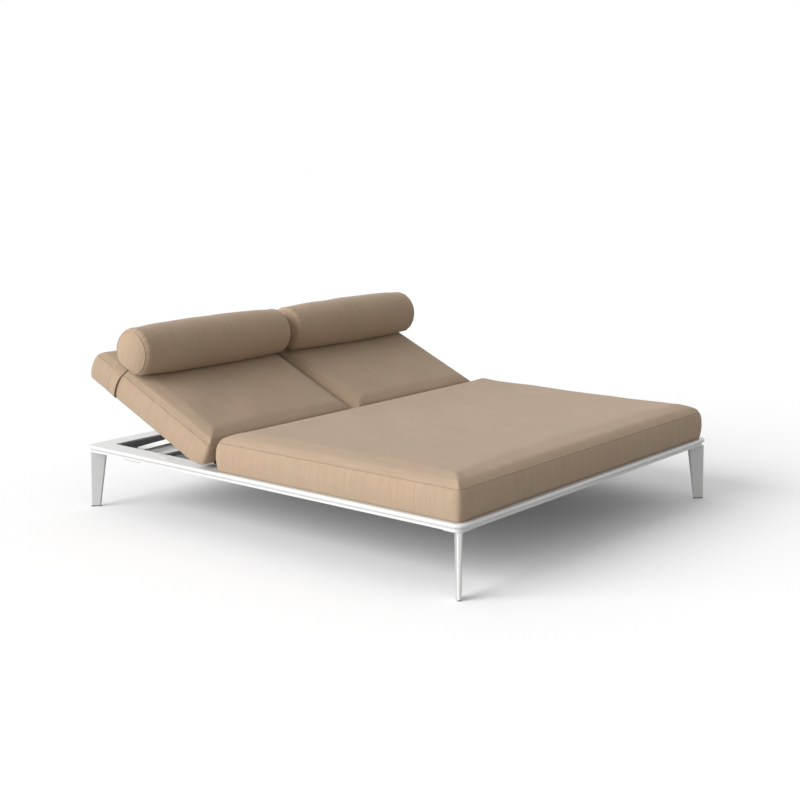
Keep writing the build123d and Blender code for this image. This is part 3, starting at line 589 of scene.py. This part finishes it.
back_covers = {}
for side, turn in (("left", -1), ("right", 1)):
    low_x, high_x = sorted((turn * cushion_inner, turn * cushion_outer))
    points, quads, cloth_map, seam, underside = boxed_cushion(
        (low_x, cushion_foot), (high_x, cushion_head), back_seam_height, back_crown, cushion_roll,
        back_corner, back_bow, crown_reach, back_step, 20 + turn)
    points = relieve(points)
    pressed = turn * points[:, 0] < cushions_meet + meet_fade
    points[:, 0] = turn * np.maximum(turn * points[:, 0], cushions_meet)
    points[:, 2] += cushion_base
    back = new_piece("back_cushion_cover_" + side, slope_place(points), quads, cushion_cloth, cloth_map)
    inflate(back, seam | underside | pressed, back_swell)
    subdivide(back)
    back_covers[side] = back
    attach(back, "pad_" + side)
    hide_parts("back_cushion_" + side)
    middle = ((low_x + high_x) / 2, (cushion_foot + cushion_head) / 2)
    sew_edge("back_top_" + side, points, seam, middle, slope_place, "pad_" + side)


# Straps: one band of the cushion cloth pulled round each back cushion, hemmed at both edges
# and sewn into a loop. It carries the bolster, and it slides on the cushion with it.
strap_low, strap_high = 0.545, 0.606
strap_travel_low, strap_travel_high = -0.2, 0.04
strap_columns = np.array([0.0, 0.0015, 0.008, 0.0095, 0.0305, 0.0515, 0.053, 0.0595, 0.061])
hem_lift = np.array([0.0, 0.0006, 0.0006, 0.0, 0.0, 0.0, 0.0006, 0.0006, 0.0])
strap_clear, strap_base_clear, strap_flare, strap_wall = 0.0009, 0.0003, 0.005, 0.0012
strap_step, strap_margin, seam_reach, base_fade, crown_fade = 0.008, 0.02, 0.014, 0.008, 0.02
stitch_pitch, stitch_length, stitch_radius, stitches_from = 0.0045, 0.0032, 0.0004, 0.006


def pulled_round(section):
    """What a band follows that is pulled round these points (x, n): their convex hull, found by
    walking them from left to right and back and dropping each point that turns the wrong way."""
    ordered = section[np.lexsort((section[:, 1], section[:, 0]))]
    hull = []
    for walk in (ordered, ordered[::-1]):
        start = len(hull)
        for point in walk:
            while len(hull) > start + 1:
                last, step = hull[-1] - hull[-2], point - hull[-1]
                if last[0] * step[1] - last[1] * step[0] > 0:
                    break
                hull.pop()
            hull.append(point)
        hull.pop()
    return np.array(hull)


def square_to(path):
    """The way out of a loop in the x, n plane: its own direction, turned a quarter."""
    along = frames_along(path)
    return np.stack([along[:, 2], np.zeros(len(path)), -along[:, 0]], -1)


for side, turn in (("left", -1), ("right", 1)):
    stuffed = cushion_place([v.co for v in back_covers[side].data.vertices])
    run_over = ((stuffed[:, 1] > strap_low + strap_travel_low - strap_margin)
                & (stuffed[:, 1] < strap_high + strap_travel_high + strap_margin))
    section = pulled_round(stuffed[run_over][:, [0, 2]])
    loop = resample(np.stack([section[:, 0], np.zeros(len(section)), section[:, 1]], -1), strap_step)
    outward = square_to(loop)
    over_seam = seam_bead * np.exp(-((loop[:, 2:] - cushion_base - back_seam_height) / seam_reach) ** 2)
    loop = loop + outward * (strap_clear + over_seam)
    loop[:, 0] = turn * np.maximum(turn * loop[:, 0], cushions_meet - strap_clear)
    loop[:, 2] = np.maximum(loop[:, 2], cushion_base - strap_base_clear)
    above_base = np.clip((loop[:, 2] - cushion_base) / base_fade, 0, 1)
    outer_side = above_base * (turn * loop[:, 0] > cushion_outer / 2)
    outer_side = outer_side * np.clip((cushion_base + back_seam_height - loop[:, 2]) / crown_fade, 0, 1)
    stand_off = strap_flare * outer_side[:, None] * (1 - strap_columns / strap_columns[-1]) ** 2
    grid = loop[:, None] + outward[:, None] * (hem_lift * above_base[:, None] + stand_off)[..., None]
    grid[..., 1] = strap_low + strap_columns
    rows, columns = grid.shape[:2]
    i, j = np.meshgrid(np.arange(rows), np.arange(columns - 1), indexing="ij")
    after = (i + 1) % rows
    quads = np.stack([i * columns + j, i * columns + j + 1, after * columns + j + 1, after * columns + j], -1)
    quads = quads.reshape(-1, 4)
    run = np.concatenate([[0], np.cumsum(np.linalg.norm(np.roll(loop, -1, 0) - loop, axis=1))])
    across = np.stack([strap_columns[j], strap_columns[j + 1], strap_columns[j + 1], strap_columns[j]], -1)
    lengthwise = np.stack([run[i], run[i], run[i + 1], run[i + 1]], -1)
    cloth_map = np.stack([across, lengthwise], -1).reshape(-1, 4, 2)
    strap = new_piece("bolster_strap_cloth_" + side, slope_place(grid.reshape(-1, 3)), quads, cushion_cloth,
                      cloth_map)
    wall = strap.modifiers.new("cloth_thickness", "SOLIDIFY")
    wall.thickness, wall.offset = strap_wall, 1.0
    subdivide(strap)
    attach(strap, "roll_" + side)
    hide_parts("bolster_strap_" + side)
    for hem_name, hem_column in (("foot", 2), ("head", 6)):
        line = grid[:, hem_column] + outward * strap_wall
        path = resample(line, stitch_pitch)
        centre_line = slope_place(path)
        hem = stitches("strap_hem_" + hem_name + "_" + side, centre_line,
                       slope_place(path + square_to(path)) - centre_line, stitch_length, stitch_radius,
                       thread, path[:, 2] > cushion_base + stitches_from)
        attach(hem, "roll_" + side)


# Bolsters: two neck rolls, a firm fibre-filled tube of the same cloth with a round end panel
# sewn in at each end over a piping cord. Each lies on its strap, pressed flat underneath.
bolster_s, bolster_n, bolster_radius = 0.5365, 0.2375, 0.104
bolster_seam, bolster_dome, bolster_belly = 0.088, 0.044, 0.007
bolster_inner, bolster_outer, bolster_cloth, bolster_swell = 0.003, 0.898, 0.001, 0.002
bolster_step, bolster_across, piping_radius, piping_pitch, piping_lean = 0.016, 28, 0.0022, 0.006, 0.07
seam_turn = math.asin(bolster_seam / bolster_radius)
end_inset = bolster_dome * (1 - math.cos(seam_turn))

# The flat underneath: its place, how softly it starts, how far it pushes the sides out, and how
# high that push reaches. Then the body's shape from each end inward, in metres from the piping.
contact_n, contact_blend, contact_push, contact_reach, contact_pinned = 0.1652, 0.006, 0.04, 0.03, 0.004
belly_reach, neck_depth, neck_from_end, neck_reach = 0.16, 0.002, 0.05, 0.04
gather_height, gather_from_end, gather_reach, gathers_round = 0.0011, 0.012, 0.016, (17, 26, 37)
roll_wander, roll_waves, roll_twist, wander_rise = 0.0016, (0.23, 0.37, 0.55), 5, 0.05


def roll_cover(low_x, high_x, seed):
    """A neck roll. Its profile is a quarter ellipse at each end, from the middle of the end panel
    over the piping to the body; each ring's points sit at equal turns about the axis. Where it
    would go below the cushion's crown, its lowest part is flattened smoothly."""
    turns = np.linspace(seam_turn, np.pi / 2, 7)
    near = bolster_dome * (math.cos(seam_turn) - np.cos(turns))
    ring_low, ring_high = low_x + end_inset, high_x - end_inset
    xs = edge_stations(ring_low, ring_high, bolster_step, near)
    corners, quads, facing = block_shell((len(xs) - 1, bolster_across, bolster_across))
    turn_share = corners[:, 1:] / bolster_across * 2 - 1
    radius_share = np.abs(turn_share).max(1)
    on_skin = radius_share > 0.999
    unit = np.tan(np.pi / 4 * turn_share / np.maximum(radius_share, 1e-9)[:, None])
    unit /= np.maximum(np.linalg.norm(unit, axis=1, keepdims=True), 1e-9)
    x = xs[corners[:, 0]]
    from_end = np.minimum(x - ring_low, ring_high - x)
    cosine = np.clip(math.cos(seam_turn) - from_end / bolster_dome, 0, 1)
    radius = bolster_radius - bolster_cloth
    body = radius * np.sqrt(1 - cosine ** 2)
    body = body + bolster_belly * (1 - np.exp(-(from_end / belly_reach) ** 2))
    body = body - neck_depth * np.exp(-((from_end - neck_from_end) / neck_reach) ** 2)
    angle = np.arctan2(unit[:, 1], unit[:, 0])
    gathers = ripple(angle, [2 * np.pi / count for count in gathers_round], seed)
    gathers = gathers * np.exp(-((from_end - gather_from_end) / gather_reach) ** 2)
    wander = ripple(x, roll_waves, seed + 1) * np.cos(angle * 2 + x * roll_twist)
    wander = wander * np.clip(from_end / wander_rise, 0, 1)
    body = body + (gather_height * gathers + roll_wander * wander) * on_skin
    on_end = from_end < 1e-9
    cap_turn = radius_share * seam_turn
    dome = bolster_dome * (np.cos(cap_turn) - math.cos(seam_turn)) * on_end
    x = x + np.where(x > (low_x + high_x) / 2, dome, -dome)
    out = np.where(on_end, radius * np.sin(cap_turn), body)
    s = bolster_s + unit[:, 0] * out
    n = bolster_n + unit[:, 1] * out
    flat = 0.5 * (n + contact_n + np.sqrt((n - contact_n) ** 2 + contact_blend ** 2))
    s = s + (s - bolster_s) * contact_push * np.exp(-np.abs(flat - contact_n) / contact_reach)
    points = np.stack([x, s, flat], -1)
    loops = angle[quads]
    wraps = np.ptp(loops, axis=1, keepdims=True) > np.pi
    loops = np.where(wraps & (loops < 0), loops + 2 * np.pi, loops)
    cloth_map = np.stack([np.where(facing[:, None] == 0, s[quads], x[quads]),
                          np.where(facing[:, None] == 0, n[quads], loops * bolster_radius)], -1)
    return points, quads, cloth_map, on_end & on_skin, n < contact_n + contact_pinned


for side, turn in (("left", -1), ("right", 1)):
    low_x, high_x = sorted((turn * bolster_inner, turn * bolster_outer))
    points, quads, cloth_map, rim, resting = roll_cover(low_x, high_x, 40 + turn)
    roll = new_piece("bolster_cover_" + side, slope_place(points), quads, cushion_cloth, cloth_map)
    inflate(roll, rim | resting, bolster_swell)
    subdivide(roll)
    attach(roll, "roll_" + side)
    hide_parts("bolster_" + side)
    ring_places = {"inner": turn * (bolster_inner + end_inset), "outer": turn * (bolster_outer - end_inset)}
    for end_name, end_x in ring_places.items():
        ring = points[rim & (np.abs(points[:, 0] - end_x) < 1e-3)]
        order = np.argsort(np.arctan2(ring[:, 2] - bolster_n, ring[:, 1] - bolster_s))
        path = resample(ring[order], piping_pitch)
        inward = piping_lean * turn * (1 if end_name == "outer" else -1)
        outward = path - np.array([end_x - inward, bolster_s, bolster_n])
        outward /= np.linalg.norm(outward, axis=1, keepdims=True)
        piping = bead("bolster_piping_" + end_name + "_" + side, slope_place(path),
                      slope_place(path + outward) - slope_place(path), piping_radius, cushion_cloth)
        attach(piping, "roll_" + side)


# Studio: a pale matt floor that meets a white surround, a wide soft key from the left and the
# head end, and a dome that grows brighter upwards and towards the head end. The surround is pure
# white only to the eye, in gloss and through glass; the dome lights the lounger at a plain level.
floor_mesh = bpy.data.meshes.new("studio_floor")
floor_mesh.from_pydata([(-40, -40, 0), (40, -40, 0), (40, 40, 0), (-40, 40, 0)], [], [(0, 1, 2, 3)])
floor = bpy.data.objects.new("studio_floor", floor_mesh)
bpy.context.scene.collection.objects.link(floor)
floor_finish, tree, shader = new_material("matt_white_floor", Roughness=0.9)
shader.inputs["Specular IOR Level"].default_value = 0.1
path_kind = add(tree, "ShaderNodeLightPath")
tone = add(tree, "ShaderNodeMix", {"Factor": path_kind.outputs["Is Camera Ray"], "A": linear("C2C2C2"),
                                   "B": linear("FEFEFE")}, data_type="RGBA")
tree.links.new(tone.outputs["Result"], shader.inputs["Base Color"])
floor_mesh.materials.append(floor_finish)

world = bpy.data.worlds.new("white_surround")
bpy.context.scene.world = world
world.use_nodes = True
tree = world.node_tree
tree.nodes.clear()
path_kind = add(tree, "ShaderNodeLightPath")
seen = add(tree, "ShaderNodeMath", {0: path_kind.outputs["Is Camera Ray"],
                                    1: path_kind.outputs["Is Glossy Ray"]}, operation="MAXIMUM")
seen = add(tree, "ShaderNodeMath", {0: seen.outputs["Value"], 1: path_kind.outputs["Is Transmission Ray"]},
           operation="MAXIMUM")
way = add(tree, "ShaderNodeTexCoord")
parts = add(tree, "ShaderNodeSeparateXYZ", {"Vector": way.outputs["Generated"]})
rising = add(tree, "ShaderNodeMath", {0: parts.outputs["Z"], 1: 0.17, 2: 0.50}, operation="MULTIPLY_ADD")
dome = add(tree, "ShaderNodeMath", {0: parts.outputs["Y"], 1: 0.09, 2: rising.outputs["Value"]},
           operation="MULTIPLY_ADD")
level = add(tree, "ShaderNodeMix", {"Factor": seen.outputs["Value"], "A": dome.outputs["Value"], "B": 1.0})
surround = add(tree, "ShaderNodeBackground", {"Color": (1.0, 1.0, 1.0, 1.0),
                                              "Strength": level.outputs["Result"]})
add(tree, "ShaderNodeOutputWorld", {"Surface": surround.outputs["Background"]})

key_height, key_from = math.radians(21.5), math.radians(24)
key_data = bpy.data.lights.new("key_soft", "SUN")
key_data.energy, key_data.angle = 3.55, math.radians(48)
key = bpy.data.objects.new("key_soft", key_data)
bpy.context.scene.collection.objects.link(key)
key.rotation_euler = (math.pi / 2 - key_height, 0.0, math.pi / 2 - key_from + math.pi)

# Camera: the photograph's viewpoint, from the left of the foot end and a little above.
camera_data = bpy.data.cameras.new("camera")
camera_data.sensor_width, camera_data.lens = 36.0, 62.37
camera = bpy.data.objects.new("camera", camera_data)
bpy.context.scene.collection.objects.link(camera)
camera.location = (-4.5468, -3.6987, 1.5687)
camera.rotation_euler = (math.radians(79.22), 0.0, math.radians(-50.86))
bpy.context.scene.camera = camera
bpy.context.scene.view_settings.view_transform = "Standard"
